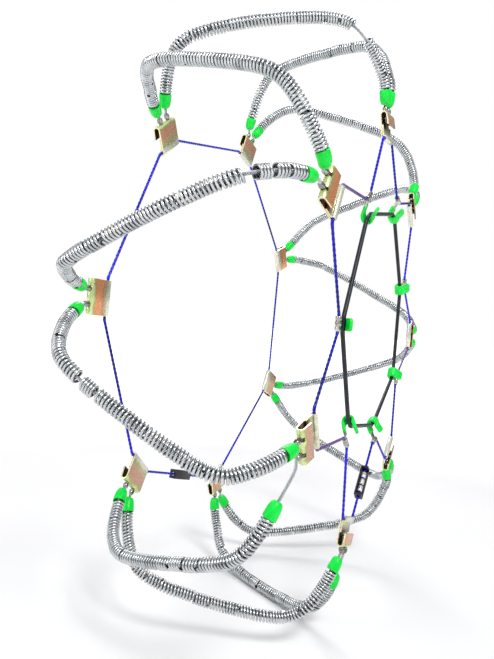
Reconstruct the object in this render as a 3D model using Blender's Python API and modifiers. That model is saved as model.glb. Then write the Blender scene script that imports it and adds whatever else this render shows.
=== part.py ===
"""Cable snow chain for a truck wheel, in the shape it takes when it is fitted.

Metres, +Z up. The wheel's axle lies on Y with the wheel's centre at the origin.
The outer side, with the hooks and the rubber tensioner, faces -Y, and the inner side faces +Y.
Angles go round the axle from +Z towards -X.
"""

import math

import bpy
from mathutils import Matrix, Vector

# ---------------------------------------------------------------- driving dimensions

PANELS = 7                      # brackets on each side of the wheel
FIRST_BRACKET = 11.6            # degrees, the first outer bracket
PITCH = 360.0 / PANELS          # degrees from one bracket to the next on the same side
HALF_PITCH = PITCH / 2          # inner brackets and tensioner hooks lie half a pitch on

RING_RADIUS = 0.354             # axle to the inner side cable where it runs through a bracket
RING_OFFSET = 0.172             # wheel's middle plane to the side cable
HOOK_REACH = 0.037              # side cable in a hook to the rubber ring in it, towards the axle
TENSIONER_OFFSET = 0.1690       # wheel's middle plane to the rubber ring

# Each outer bracket: axle to the side cable in it, degrees past its even place, and degrees that
# it leans towards the tyre. Each hook: axle to the side cable in it, degrees past its even place.
OUTER_BRACKETS = (
    (0.3320, -3.0, 6.5),
    (0.3530, -0.6, 10.0),
    (0.3548, 0.2, 9.0),
    (0.3460, -2.4, 1.0),
    (0.3310, 1.5, 6.0),
    (0.3350, -1.0, 6.0),
    (0.3300, -2.0, 6.0),
)
INNER_LEAN = 6.0
HOOKS = (
    (0.2560, -2.0),
    (0.2570, 1.5),
    (0.2460, 0.5),
    (0.2280, 3.0),
    (0.2560, 1.0),
    (0.2470, -1.0),
    (0.2620, -3.5),
)

SIDE_CABLE_RADIUS = 0.0025
TENSIONER_THICKNESS = 0.0072
STRAND_CABLE_RADIUS = 0.0024

PLATE = 0.0024                  # thickness of a bracket's sheet
BRACKET_LENGTH = 0.055
TUBE_MID_RADIUS = 0.0040        # bracket's rolled tube, at the middle of the sheet
BEND_MID_RADIUS = 0.0053        # bracket's hairpin bend, at the middle of the sheet
BEND_REACH = 0.0389             # rolled tube's axis to the bend's axis
FREE_END_REACH = 0.022          # rolled tube's axis to the free ends of the sheet
LEG_FLARE = 4.0                 # degrees, the front leg opens away from the back plate
TAIL_GAP = 0.0004               # back plate to the tail that lies on it past the rolled tube
CREASE_MID_RADIUS = 0.0017      # reverse bend between the rolled tube and its tail
SLOT_SPACING = 0.0120           # each strand's slot from the bracket's middle
SLOT_WIDTH = 0.0068
SHANK_REACH = 0.0380             # rolled tube's axis to where a strand's shank starts

STOP_LENGTH = 0.011             # stop swaged on each end of a strand, inside the bend
STOP_END_RADIUS = 0.0036
STEM_RADIUS = 0.0028
COLLAR_RADIUS = 0.0044
STEM_END = 0.0180               # start of the shank to the end of the swaged collar

COIL_RADIUS = 0.0105            # outside of a run of traction coils
COIL_WIRE = 0.0040
CAP_NOSE_RADIUS = 0.0080        # end cap at the bracket
CAP_TAPER = 0.010               # length over which an end cap widens to the coils
SLEEVE_STEP = 0.040             # spacing of the sleeve's rings
LOOSE_COIL_LENGTH = 0.024
LOOSE_COIL_GAP = 0.0026         # bare cable before a loose coil

HOOK_WIDTH = 0.020
FERRULE_LENGTH = 0.022
FERRULE_RADIUS = 0.0046
FERRULE_BORE = 0.0029
HOOK_THICKNESS = 0.0055

FRAME_LENGTH = 0.060            # side cable fastener
FRAME_WIDTH = 0.017
FRAME_SHEET = 0.0024
STOP_RADIUS = 0.0040            # swaged stops inside a fastener

# A strand's middle line over one half of the tyre, from the bracket to the tread:
# radius, distance from the wheel's middle plane, share of the turn made down to the shoulder.
SIDEWALL = (
    (0.4250, 0.1660, 0.10),
    (0.4620, 0.1535, 0.38),
    (0.4940, 0.1360, 0.68),
    (0.5160, 0.1110, 0.94),
)
TREAD_EDGE = (0.5245, 0.070)
TREAD_CROWN = (0.5265, 0.0)
SHOULDER_Y = 0.105

# Each strand's own lie. The columns are the outer bracket's number, the way it leaves (-1 or +1),
# the degrees it has turned at the outer and at the inner shoulder, and the lengths from the start
# of the shank to the cap at the outer and at the inner end.
STRANDS = (
    (0, -1, 8.0, 8.0, 0.020, 0.026),
    (0, +1, 9.0, 3.0, 0.020, 0.026),
    (1, -1, 9.0, 9.5, 0.0195, 0.022),
    (1, +1, 10.2, 4.6, 0.0425, 0.021),
    (2, -1, 3.0, 10.2, 0.0255, 0.026),
    (2, +1, 13.0, 4.0, 0.077, 0.020),
    (3, -1, 5.0, 6.0, 0.025, 0.022),
    (3, +1, 8.0, 8.0, 0.058, 0.020),
    (4, -1, 8.0, 6.5, 0.022, 0.028),
    (4, +1, 7.0, 7.5, 0.020, 0.022),
    (5, -1, 7.5, 8.0, 0.026, 0.020),
    (5, +1, 8.0, 7.0, 0.022, 0.024),
    (6, -1, 7.0, 8.0, 0.020, 0.022),
    (6, +1, 8.5, 7.0, 0.024, 0.026),
)
# Strands with a coil lying loose: its middle's distance from the run's outer end, and the length
# of bare cable after it.
LOOSE_COILS = {3: (0.090, 0.012), 4: (0.3145, 0.006)}

OUTER, INNER = -1, 1


# ---------------------------------------------------------------- frames and routes

def radial(angle):
    """Unit vector from the axle outwards at an angle in degrees."""
    turn = math.radians(angle)
    return Vector((-math.sin(turn), 0, math.cos(turn)))


def tangent(angle):
    """Unit vector along the rim, towards larger angles."""
    turn = math.radians(angle)
    return Vector((-math.cos(turn), 0, -math.sin(turn)))


def side_frame(angle, side, radius):
    """Frame on a side ring: X along the rim, Y outwards from the axle, Z away from the tyre."""
    across = side * tangent(angle)
    out = radial(angle)
    away = Vector((0, side, 0))
    place = radius * out + side * RING_OFFSET * Vector((0, 1, 0))
    matrix = Matrix((across, out, away)).transposed().to_4x4()
    matrix.translation = place
    return matrix


def outer_angle(number):
    return FIRST_BRACKET + number * PITCH


def inner_angle(number):
    return outer_angle(number) + HALF_PITCH


def bracket_place(number, side):
    """Angle and radius of a bracket's tube, and how far it leans towards the tyre."""
    if side == INNER:
        return inner_angle(number), RING_RADIUS, INNER_LEAN
    radius, shift, lean = OUTER_BRACKETS[number]
    return outer_angle(number) + shift, radius, lean


def bracket_frame(place, side):
    """Frame of a bracket: X along its tube, Y from the tube to the hairpin bend."""
    angle, radius, lean = place
    return side_frame(angle, side, radius) @ Matrix.Rotation(-math.radians(lean), 4, "X")


def hook_place(number):
    radius, shift = HOOKS[number]
    return inner_angle(number) + shift, radius


def on_wheel(radius, y, angle):
    return radius * radial(angle) + Vector((0, y, 0))


def smooth_route(points, spacing):
    """Points about a spacing apart on the Catmull-Rom curve through the given points."""
    ends = [2 * points[0] - points[1]] + list(points) + [2 * points[-1] - points[-2]]
    route = [points[0].copy()]
    for a, b, c, d in zip(ends, ends[1:], ends[2:], ends[3:]):
        steps = max(1, round((c - b).length / spacing))
        for step in range(1, steps + 1):
            t = step / steps
            route.append(
                0.5 * (2 * b + (c - a) * t + (2 * a - 5 * b + 4 * c - d) * t * t
                       + (3 * b - a - 3 * c + d) * t ** 3)
            )
    return route


def lengths_along(route):
    total = [0.0]
    for a, b in zip(route, route[1:]):
        total.append(total[-1] + (b - a).length)
    return total


def point_at(route, lengths, distance):
    """The point of a route at a distance from its start."""
    for i in range(1, len(route)):
        if distance <= lengths[i] or i == len(route) - 1:
            share = (distance - lengths[i - 1]) / (lengths[i] - lengths[i - 1])
            return route[i - 1].lerp(route[i], share)


def rounded_corners(corners, radius, steps):
    """A closed route through corners, each rounded by an arc of the given radius."""
    route = []
    for i, corner in enumerate(corners):
        to_last = (corners[i - 1] - corner).normalized()
        to_next = (corners[(i + 1) % len(corners)] - corner).normalized()
        half = to_last.angle(to_next) / 2
        middle = corner + (to_last + to_next).normalized() * (radius / math.sin(half))
        sweep = math.pi - 2 * half
        inward = (corner - middle).normalized()
        sideways = (to_next - to_next.project(inward)).normalized()
        for step in range(steps + 1):
            turn = sweep * (step / steps - 0.5)
            route.append(middle + radius * (inward * math.cos(turn) + sideways * math.sin(turn)))
    return route


def shank_start(place, side, way):
    """Start of a strand's shank, in the slot that lies the given way from the bracket's middle."""
    rise = BEND_MID_RADIUS - TUBE_MID_RADIUS
    return bracket_frame(place, side) @ Vector((side * way * SLOT_SPACING, SHANK_REACH, rise))


def strand_route(number):
    """Middle line of a strand, from its outer shank's start to its inner shank's start."""
    bracket, way, outer_turn, inner_turn, _, _ = STRANDS[number]
    outer_place = bracket_place(bracket, OUTER)
    inner_place = (outer_angle(bracket) + way * HALF_PITCH, RING_RADIUS, INNER_LEAN)
    start, end = outer_place[0], inner_place[0]
    first, last = shank_start(outer_place, OUTER, way), shank_start(inner_place, INNER, -way)
    offset = math.degrees(math.atan2(SLOT_SPACING, RING_RADIUS + SHANK_REACH))

    def half(angle, sign, turned, side):
        return [
            on_wheel(r, side * y, angle + sign * (offset + (turned - offset) * share))
            for r, y, share in SIDEWALL
        ]

    outer = half(start, way, outer_turn, OUTER)
    inner = half(end, -way, inner_turn, INNER)
    at_outer = start + way * outer_turn
    at_inner = end - way * inner_turn

    def crossing(radius, y):
        share = (y + SHOULDER_Y) / (2 * SHOULDER_Y)
        return on_wheel(radius, y, at_outer + (at_inner - at_outer) * share)

    edge_radius, edge_y = TREAD_EDGE
    tread = [
        crossing(edge_radius, -edge_y),
        crossing(TREAD_CROWN[0], TREAD_CROWN[1]),
        crossing(edge_radius, edge_y),
    ]
    stem_out = bracket_frame(outer_place, OUTER).to_3x3() @ Vector((0, STEM_END, 0))
    stem_in = bracket_frame(inner_place, INNER).to_3x3() @ Vector((0, STEM_END, 0))
    outer = [first, first + 0.6 * stem_out, first + stem_out, *outer]
    inner = [last, last + 0.6 * stem_in, last + stem_in, *inner]
    return [*outer, *tread, *reversed(inner)]


def fine_strand_route(number):
    return smooth_route(strand_route(number), 0.006)


# ---------------------------------------------------------------- objects and materials

def start_scene():
    for obj in list(bpy.data.objects):
        bpy.data.objects.remove(obj)
    made = {}
    for name in ("tire_snow_chain", "cutters"):
        made[name] = bpy.data.collections.new(name)
        bpy.context.scene.collection.children.link(made[name])
    made["cutters"].hide_render = True
    return made


def make_material(name, colour, roughness, metallic):
    material = bpy.data.materials.new(name)
    material.use_nodes = True
    shader = material.node_tree.nodes["Principled BSDF"]
    shader.inputs["Base Color"].default_value = (*colour, 1)
    shader.inputs["Roughness"].default_value = roughness
    shader.inputs["Metallic"].default_value = metallic
    return material


COLLECTIONS = start_scene()
MATERIALS = {
    "blue_cable": make_material("blue_cable", (0.05, 0.05, 0.55), 0.35, 0.0),
    "steel_cable": make_material("steel_cable", (0.60, 0.61, 0.62), 0.40, 1.0),
    "traction_coil": make_material("traction_coil", (0.62, 0.63, 0.62), 0.35, 1.0),
    "yellow_zinc": make_material("yellow_zinc", (0.72, 0.58, 0.33), 0.32, 1.0),
    "green_hook": make_material("green_hook", (0.0, 0.62, 0.10), 0.40, 0.0),
    "black_rubber": make_material("black_rubber", (0.02, 0.02, 0.02), 0.60, 0.0),
    "black_steel": make_material("black_steel", (0.03, 0.03, 0.035), 0.35, 1.0),
}


def add_object(name, data, material, collection="tire_snow_chain"):
    obj = bpy.data.objects.new(name, data)
    COLLECTIONS[collection].objects.link(obj)
    if material:
        data.materials.append(MATERIALS[material])
    return obj


def tube_curve(name, points, radius, material, sides, closed=False, caps=True, scales=None):
    """A round tube along points. Scales, where given, multiply the radius at each point."""
    data = bpy.data.curves.new(name, "CURVE")
    data.dimensions = "3D"
    data.bevel_depth = radius
    data.bevel_resolution = sides // 2 - 2
    data.use_fill_caps = caps and not closed
    data.twist_mode = "MINIMUM"
    spline = data.splines.new("POLY")
    spline.points.add(len(points) - 1)
    for i, (spot, place) in enumerate(zip(spline.points, points)):
        spot.co = (*place, 1)
        spot.radius = scales[i] if scales else 1.0
    spline.use_cyclic_u = closed
    spline.use_smooth = True
    return add_object(name, data, material)


def arc(centre, radius, start, end, steps):
    """Points of an arc in the YZ plane, angles in degrees from +Y towards +Z."""
    return [
        Vector((0, centre[0] + radius * math.cos(a), centre[1] + radius * math.sin(a)))
        for a in (math.radians(start + (end - start) * i / steps) for i in range(steps + 1))
    ]


def move_origin(obj, place):
    """Puts an object's origin at a place and leaves its shape where it is."""
    obj.data.transform(Matrix.Translation(-place))
    obj.location = place


def strip_mesh(name, outline, width):
    """An open sheet: an outline in the YZ plane, swept along X by a width."""
    vertices = [p + Vector((x, 0, 0)) for p in outline for x in (-width / 2, width / 2)]
    faces = [(2 * i, 2 * i + 1, 2 * i + 3, 2 * i + 2) for i in range(len(outline) - 1)]
    mesh = bpy.data.meshes.new(name)
    mesh.from_pydata(vertices, [], faces)
    return mesh


def solidify(obj, thickness, offset=0.0):
    shell = obj.modifiers.new("thickness", "SOLIDIFY")
    shell.thickness = thickness
    shell.offset = offset
    shell.use_even_offset = True


def boolean(obj, other, operation):
    change = obj.modifiers.new(operation.lower(), "BOOLEAN")
    change.object = other
    change.operation = operation
    change.solver = "EXACT"


def apply_modifiers(obj):
    """Replaces an object's mesh by its evaluated mesh, which its copies can share."""
    graph = bpy.context.evaluated_depsgraph_get()
    mesh = bpy.data.meshes.new_from_object(obj.evaluated_get(graph))
    obj.modifiers.clear()
    obj.data = mesh


def box_object(name, size, place, collection="cutters"):
    bpy.ops.mesh.primitive_cube_add(size=1, location=place)
    return take_primitive(name, Matrix.Diagonal((*size, 1)), collection)


def cylinder_object(name, radius, depth, place, direction, sides=16, collection="cutters"):
    bpy.ops.mesh.primitive_cylinder_add(vertices=sides, radius=radius, depth=depth, location=place)
    turn = Vector(direction).to_track_quat("Z", "Y").to_matrix().to_4x4()
    return take_primitive(name, turn, collection)


def take_primitive(name, matrix, collection):
    """Names the primitive just added, applies a matrix to its mesh and files it in a collection."""
    obj = bpy.context.active_object
    obj.name = obj.data.name = name
    obj.data.transform(matrix)
    for found in list(obj.users_collection):
        found.objects.unlink(obj)
    COLLECTIONS[collection].objects.link(obj)
    if collection == "cutters":
        obj.hide_render = True
        obj.display_type = "WIRE"
    return obj


def shade(obj, sharp_angle=35):
    obj.data.shade_smooth()
    obj.data.set_sharp_from_angle(angle=math.radians(sharp_angle))


# ---------------------------------------------------------------- brackets

def bracket_outline():
    """Middle of the bracket's sheet: front leg, hairpin bend, back plate, rolled tube and tail."""
    flare = math.radians(LEG_FLARE)
    hairpin = arc((BEND_REACH, BEND_MID_RADIUS - TUBE_MID_RADIUS), BEND_MID_RADIUS, 90 - LEG_FLARE, -90, 6)
    leg_length = BEND_REACH - FREE_END_REACH
    leg_end = hairpin[0] + leg_length * Vector((0, -math.cos(flare), math.sin(flare)))
    tail_z = PLATE + TAIL_GAP - TUBE_MID_RADIUS
    crease_z = tail_z + CREASE_MID_RADIUS
    contact = math.asin(crease_z / (TUBE_MID_RADIUS + CREASE_MID_RADIUS))
    crease_y = (TUBE_MID_RADIUS + CREASE_MID_RADIUS) * math.cos(contact)
    turn = math.degrees(contact)
    tube = arc((0, 0), TUBE_MID_RADIUS, 270, turn, 7)
    crease = arc((crease_y, crease_z), CREASE_MID_RADIUS, 180 + turn, 270, 2)
    return [leg_end, *hairpin, *tube, *crease[1:], Vector((0, FREE_END_REACH, tail_z))]


def bracket_mesh():
    """One bracket in its own frame: X along the rim, Y outwards, Z away from the tyre."""
    obj = add_object("bracket", strip_mesh("bracket", bracket_outline(), BRACKET_LENGTH), "yellow_zinc")
    solidify(obj, PLATE)
    slot_top = 0.014
    slot_bottom = BEND_MID_RADIUS - TUBE_MID_RADIUS - SLOT_WIDTH / 2
    slot_size = (SLOT_WIDTH, 0.012, slot_top - slot_bottom)
    for way in (-1, 1):
        place = (way * SLOT_SPACING, BEND_REACH + 0.0072, (slot_top + slot_bottom) / 2)
        boolean(obj, box_object("slot_cutter", slot_size, place), "DIFFERENCE")
    apply_modifiers(obj)
    shade(obj)
    mesh = obj.data
    bpy.data.objects.remove(obj)
    return mesh


def add_brackets():
    mesh = bracket_mesh()
    for name, side in (("outer_bracket", OUTER), ("inner_bracket", INNER)):
        for number in range(PANELS):
            bracket = add_object(f"{name}_{number + 1}", mesh, None)
            bracket.matrix_world = bracket_frame(bracket_place(number, side), side)


# ---------------------------------------------------------------- strands: cable, coils and caps

def end_fitting():
    """Distances from the start of the shank and radii of the swaged stop, shank and collar."""
    return (
        (-STOP_LENGTH, 0.0026),
        (0.0010 - STOP_LENGTH, STOP_END_RADIUS),
        (-0.0004, STOP_END_RADIUS),
        (0.0006, STEM_RADIUS),
        (0.0084, STEM_RADIUS),
        (0.0104, COLLAR_RADIUS),
        (0.0150, COLLAR_RADIUS),
        (STEM_END, STRAND_CABLE_RADIUS),
    )


def add_strand_cable(number, route):
    """The wire rope of a strand, with a stop, shank and collar swaged on each end."""
    lengths = lengths_along(route)
    whole = lengths[-1]
    first = (route[1] - route[0]).normalized()
    last = (route[-1] - route[-2]).normalized()
    clear = STEM_END + 0.012
    middle = [clear + (whole - 2 * clear) * i / 12 for i in range(13)]
    fitting = end_fitting()
    stations = [*fitting, *((d, STRAND_CABLE_RADIUS) for d in middle)]
    stations += [(whole - d, r) for d, r in reversed(fitting)]
    points = []
    for distance, _ in stations:
        if distance < 0:
            points.append(route[0] + first * distance)
        elif distance > whole:
            points.append(route[-1] + last * (distance - whole))
        else:
            points.append(point_at(route, lengths, distance))
    scales = [r / STRAND_CABLE_RADIUS for _, r in stations]
    name = f"strand_cable_{number + 1}"
    cable = tube_curve(name, points, STRAND_CABLE_RADIUS, "steel_cable", 6, scales=scales)
    move_origin(cable, route[0])


def add_coil_run(name, route, start, end, cap_start, cap_end):
    """Envelope of a run of traction coils with its end caps: a sleeve that tapers at a capped end."""
    middle_radius = COIL_RADIUS - COIL_WIRE / 2
    nose = CAP_NOSE_RADIUS - COIL_WIRE / 2
    cap = ((0.0, nose), (CAP_TAPER, middle_radius))
    plain = ((0.0, middle_radius),)
    low = list(cap if cap_start else plain)
    high = [(end - start - d, r) for d, r in reversed(cap if cap_end else plain)]
    inside_start, inside_end = low[-1][0], high[0][0]
    count = max(2, round((inside_end - inside_start) / SLEEVE_STEP))
    between = [
        (inside_start + (inside_end - inside_start) * i / count, middle_radius) for i in range(1, count)
    ]
    stations = low + between + high
    lengths = lengths_along(route)
    points = [point_at(route, lengths, start + d) for d, _ in stations]
    scales = [r / middle_radius for _, r in stations]
    sleeve = tube_curve(
        name, points, middle_radius, "traction_coil", 8, caps=False, scales=scales
    )
    graph = bpy.context.evaluated_depsgraph_get()
    mesh = bpy.data.meshes.new_from_object(sleeve.evaluated_get(graph))
    bpy.data.objects.remove(sleeve)
    obj = add_object(name, mesh, None)
    solidify(obj, COIL_WIRE)
    apply_modifiers(obj)
    obj.data.shade_smooth()
    move_origin(obj, route[0])


def add_loose_coil(name, route, middle):
    """One traction coil, free to spin on the bare cable, with its origin on its own axis."""
    lengths = lengths_along(route)
    centre = point_at(route, lengths, middle)
    ahead = point_at(route, lengths, middle + 0.004)
    behind = point_at(route, lengths, middle - 0.004)
    half = LOOSE_COIL_LENGTH / 2
    bpy.ops.mesh.primitive_cylinder_add(
        vertices=12, radius=COIL_RADIUS - COIL_WIRE / 2, depth=2 * half, end_fill_type="NOTHING"
    )
    obj = take_primitive(name, Matrix.Identity(4), "tire_snow_chain")
    obj.data.materials.append(MATERIALS["traction_coil"])
    solidify(obj, COIL_WIRE)
    obj.matrix_world = Matrix.Translation(centre) @ (
        (ahead - behind).to_track_quat("Z", "Y").to_matrix().to_4x4()
    )


def add_strands():
    for number, strand in enumerate(STRANDS):
        route = fine_strand_route(number)
        add_strand_cable(number, route)
        start, end = strand[4], lengths_along(route)[-1] - strand[5]
        name = f"traction_coils_{number + 1}"
        if number not in LOOSE_COILS:
            add_coil_run(name, route, start, end, True, True)
            continue
        distance, bare = LOOSE_COILS[number]
        middle = start + distance
        low = middle - LOOSE_COIL_LENGTH / 2 - LOOSE_COIL_GAP
        high = middle + LOOSE_COIL_LENGTH / 2 + bare
        add_coil_run(f"{name}_outer", route, start, low, True, False)
        add_coil_run(f"{name}_inner", route, high, end, False, True)
        add_loose_coil(f"loose_coil_{number + 1}", route, middle)


# ---------------------------------------------------------------- side cables and tensioner

def bracket_bends(number, side):
    """Corners of a side cable at the two ends of a bracket's tube."""
    angle, radius, _ = bracket_place(number, side)
    reach = BRACKET_LENGTH / 2 + 0.0055
    middle = on_wheel(radius, side * RING_OFFSET, angle)
    return [middle - reach * tangent(angle), middle + reach * tangent(angle)]


def hook_bends(number):
    """Corners of the outer side cable at the two ends of a hook's ferrule."""
    angle, radius = hook_place(number)
    reach = FERRULE_LENGTH / 2 + 0.0025
    middle = on_wheel(radius, -RING_OFFSET, angle)
    return [middle - reach * tangent(angle), middle + reach * tangent(angle)]


FASTENER_SHARE = {OUTER: 0.47, INNER: 0.50}     # place of a fastener between two corners


def fastener_line(side):
    """The straight stretch of a side cable that its fastener sits on."""
    if side == OUTER:
        return bracket_bends(3, OUTER)[1], hook_bends(3)[0]
    return bracket_bends(2, INNER)[1], bracket_bends(3, INNER)[0]


def fastener_frame(side):
    """Frame of a fastener: X along the side cable, Z away from the tyre."""
    start, end = fastener_line(side)
    along = (end - start).normalized()
    away = Vector((0, side, 0))
    matrix = Matrix((along, away.cross(along), away)).transposed().to_4x4()
    matrix.translation = start.lerp(end, FASTENER_SHARE[side])
    return matrix


def add_side_cable(name, side):
    """A side cable: one length, whose two stopped ends meet inside the fastener."""
    corners = []
    for number in range(PANELS):
        corners += bracket_bends(number, side)
        if side == OUTER:
            corners += hook_bends(number)
    after = (4 * 3 + 2) if side == OUTER else (2 * 3)
    corners = corners[after:] + corners[:after]
    steps = 2
    route = rounded_corners(corners, 0.008, steps)
    frame = fastener_frame(side)
    ends = {"low": frame @ Vector((-0.0035, 0, 0)), "high": frame @ Vector((0.0035, 0, 0))}
    toward = frame.to_3x3() @ Vector((1, 0, 0))
    stop_scale = STOP_RADIUS / SIDE_CABLE_RADIUS
    stop = ((0.0, stop_scale), (0.0140, stop_scale), (0.0145, 1.0))
    first = [(ends["high"] + toward * d, s) for d, s in stop]
    last = [(ends["low"] - toward * d, s) for d, s in reversed(stop)]
    points = [p for p, _ in first] + route + [p for p, _ in last]
    scales = [s for _, s in first] + [1.0] * len(route) + [s for _, s in last]
    tube_curve(name, points, SIDE_CABLE_RADIUS, "blue_cable", 8, scales=scales)


def tensioner_bends(number):
    """Corners of the rubber ring at the two edges of a hook."""
    angle, radius = hook_place(number)
    reach = HOOK_WIDTH / 2 + 0.002
    middle = on_wheel(radius - HOOK_REACH, -TENSIONER_OFFSET, angle)
    return [middle - reach * tangent(angle), middle + reach * tangent(angle)]


def add_tensioner():
    corners = []
    for number in range(PANELS):
        corners += tensioner_bends(number)
    route = rounded_corners(corners, 0.014, 3)
    tube_curve("rubber_tensioner", route, TENSIONER_THICKNESS / 2, "black_rubber", 8, closed=True)


# ---------------------------------------------------------------- tensioner hooks

def hook_outline():
    """Middle of a hook's strip: from the ferrule inwards, round the rubber and back outwards."""
    bend_radius = TENSIONER_THICKNESS / 2 + HOOK_THICKNESS / 2 + 0.0012
    bend_y = -HOOK_REACH
    bend_z = TENSIONER_OFFSET - RING_OFFSET
    bend = arc((bend_y, bend_z), bend_radius, 180 + 75, 180 - 100, 8)
    base = Vector((0, -0.0034, 0.0))
    knee = Vector((0, bend_y + 0.006, bend_z - bend_radius - 0.0004))
    flare = math.radians(35)
    tip = bend[-1] + 0.019 * Vector((0, math.cos(flare), math.sin(flare)))
    return [base, knee, *bend, tip]


def hook_mesh():
    """One hook in its own frame: ferrule on X, the hook's mouth opening along +Y and +Z."""
    strip = add_object("hook", strip_mesh("hook", hook_outline(), HOOK_WIDTH), "green_hook")
    solidify(strip, HOOK_THICKNESS)
    apply_modifiers(strip)
    ferrule = cylinder_object("ferrule", FERRULE_RADIUS, FERRULE_LENGTH, (0, 0, 0), (1, 0, 0), 12)
    bore = cylinder_object("ferrule_bore", FERRULE_BORE, 0.04, (0, 0, 0), (1, 0, 0), 12)
    boolean(strip, ferrule, "UNION")
    boolean(strip, bore, "DIFFERENCE")
    apply_modifiers(strip)
    shade(strip)
    mesh = strip.data
    bpy.data.objects.remove(strip)
    return mesh


def add_hooks():
    mesh = hook_mesh()
    for number in range(PANELS):
        hook = add_object(f"tensioner_hook_{number + 1}", mesh, None)
        angle, radius = hook_place(number)
        hook.matrix_world = side_frame(angle, OUTER, radius)


# ---------------------------------------------------------------- side cable fasteners

def fastener_mesh():
    """A channel along the cable, closed at both ends by a holed lug that a stopped end bears on."""
    inside = FRAME_LENGTH - 2 * FRAME_SHEET
    body = box_object("fastener", (FRAME_LENGTH, FRAME_WIDTH, 0.0135), (0, 0, 0), "tire_snow_chain")
    body.data.materials.append(MATERIALS["black_steel"])
    hollow_size = (inside, FRAME_WIDTH - 2 * FRAME_SHEET, 0.020)
    hollow = box_object("hollow_cutter", hollow_size, (0, 0, 0.010 - 0.00675 + FRAME_SHEET))
    opening = box_object("side_cutter", (inside - 0.012, 0.012, 0.020), (0, FRAME_WIDTH / 2, 0.0056))
    bore = cylinder_object("cable_cutter", SIDE_CABLE_RADIUS + 0.0006, 0.08, (0, 0, 0), (1, 0, 0), 12)
    for cutter in (hollow, opening, bore):
        boolean(body, cutter, "DIFFERENCE")
    apply_modifiers(body)
    shade(body)
    mesh = body.data
    bpy.data.objects.remove(body)
    return mesh


def add_fasteners():
    mesh = fastener_mesh()
    for name, side in (("outer_fastener", OUTER), ("inner_fastener", INNER)):
        fastener = add_object(name, mesh, None)
        fastener.matrix_world = fastener_frame(side)


# ---------------------------------------------------------------- the whole chain

def build():
    add_brackets()
    add_strands()
    add_side_cable("outer_side_cable", OUTER)
    add_side_cable("inner_side_cable", INNER)
    add_tensioner()
    add_hooks()
    add_fasteners()


build()
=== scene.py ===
"""Looks of the fitted cable snow chain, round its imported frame.

Metres, +Z up, the axle along Y and the chain's outer side towards -Y, as in the frame.
Angles go round the axle from +Z towards -X.
"""

import math
import random

import bpy
import numpy as np
from mathutils import Matrix, Vector


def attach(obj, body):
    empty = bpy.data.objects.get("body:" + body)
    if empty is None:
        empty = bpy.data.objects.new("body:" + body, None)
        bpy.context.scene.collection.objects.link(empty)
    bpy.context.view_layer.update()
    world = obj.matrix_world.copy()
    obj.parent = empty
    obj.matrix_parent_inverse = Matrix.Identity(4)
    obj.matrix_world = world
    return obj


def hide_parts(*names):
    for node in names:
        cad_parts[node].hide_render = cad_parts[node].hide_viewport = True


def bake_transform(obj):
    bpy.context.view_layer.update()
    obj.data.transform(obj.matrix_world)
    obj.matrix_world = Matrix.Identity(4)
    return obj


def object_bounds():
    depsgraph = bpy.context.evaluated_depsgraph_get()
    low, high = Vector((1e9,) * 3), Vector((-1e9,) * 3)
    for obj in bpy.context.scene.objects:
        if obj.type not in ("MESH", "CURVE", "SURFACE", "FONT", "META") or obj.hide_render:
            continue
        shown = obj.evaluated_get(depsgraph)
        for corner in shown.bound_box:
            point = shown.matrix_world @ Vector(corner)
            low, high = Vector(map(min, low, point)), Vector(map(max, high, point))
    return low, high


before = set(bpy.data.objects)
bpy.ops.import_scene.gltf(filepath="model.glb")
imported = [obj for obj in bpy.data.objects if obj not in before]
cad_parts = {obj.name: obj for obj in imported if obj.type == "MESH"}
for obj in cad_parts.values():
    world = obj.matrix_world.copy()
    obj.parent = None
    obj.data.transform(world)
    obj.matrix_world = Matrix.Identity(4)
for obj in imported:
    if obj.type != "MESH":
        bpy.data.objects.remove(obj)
CAD_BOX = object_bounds()


# ---------------------------------------------------------------- camera

CAMERA_LENS = 32.77
CAMERA_PLACE = (-1.1055, -0.4190, -0.0016)
CAMERA_FORWARD = (0.9076, 0.4193, -0.0215)
CAMERA_RIGHT = (0.4195, -0.9038, 0.0843)


def add_camera():
    """The picture's viewpoint: close to the tread, looking past the outer sidewall."""
    data = bpy.data.cameras.new("camera")
    data.lens = CAMERA_LENS
    data.clip_start = 0.02
    camera = bpy.data.objects.new("camera", data)
    forward = Vector(CAMERA_FORWARD).normalized()
    right = Vector(CAMERA_RIGHT)
    right = (right - right.project(forward)).normalized()
    up = right.cross(forward)
    turn = Matrix((right, up, -forward)).transposed().to_4x4()
    camera.matrix_world = Matrix.Translation(CAMERA_PLACE) @ turn
    bpy.context.scene.collection.objects.link(camera)
    bpy.context.scene.camera = camera


add_camera()

# ---------------------------------------------------------------- the frame's layout

PANELS = 7
FIRST_BRACKET = 11.6
PITCH = 360.0 / PANELS
HALF_PITCH = PITCH / 2
OUTER, INNER = -1, 1

RING_RADIUS = 0.354
RING_OFFSET = 0.172
HOOK_REACH = 0.037
TENSIONER_OFFSET = 0.1690
OUTER_BRACKETS = (
    (0.3320, -3.0, 6.5),
    (0.3530, -0.6, 10.0),
    (0.3548, 0.2, 9.0),
    (0.3460, -2.4, 1.0),
    (0.3310, 1.5, 6.0),
    (0.3350, -1.0, 6.0),
    (0.3300, -2.0, 6.0),
)
INNER_LEAN = 6.0
HOOKS = (
    (0.2560, -2.0),
    (0.2570, 1.5),
    (0.2460, 0.5),
    (0.2280, 3.0),
    (0.2560, 1.0),
    (0.2470, -1.0),
    (0.2620, -3.5),
)

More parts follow.
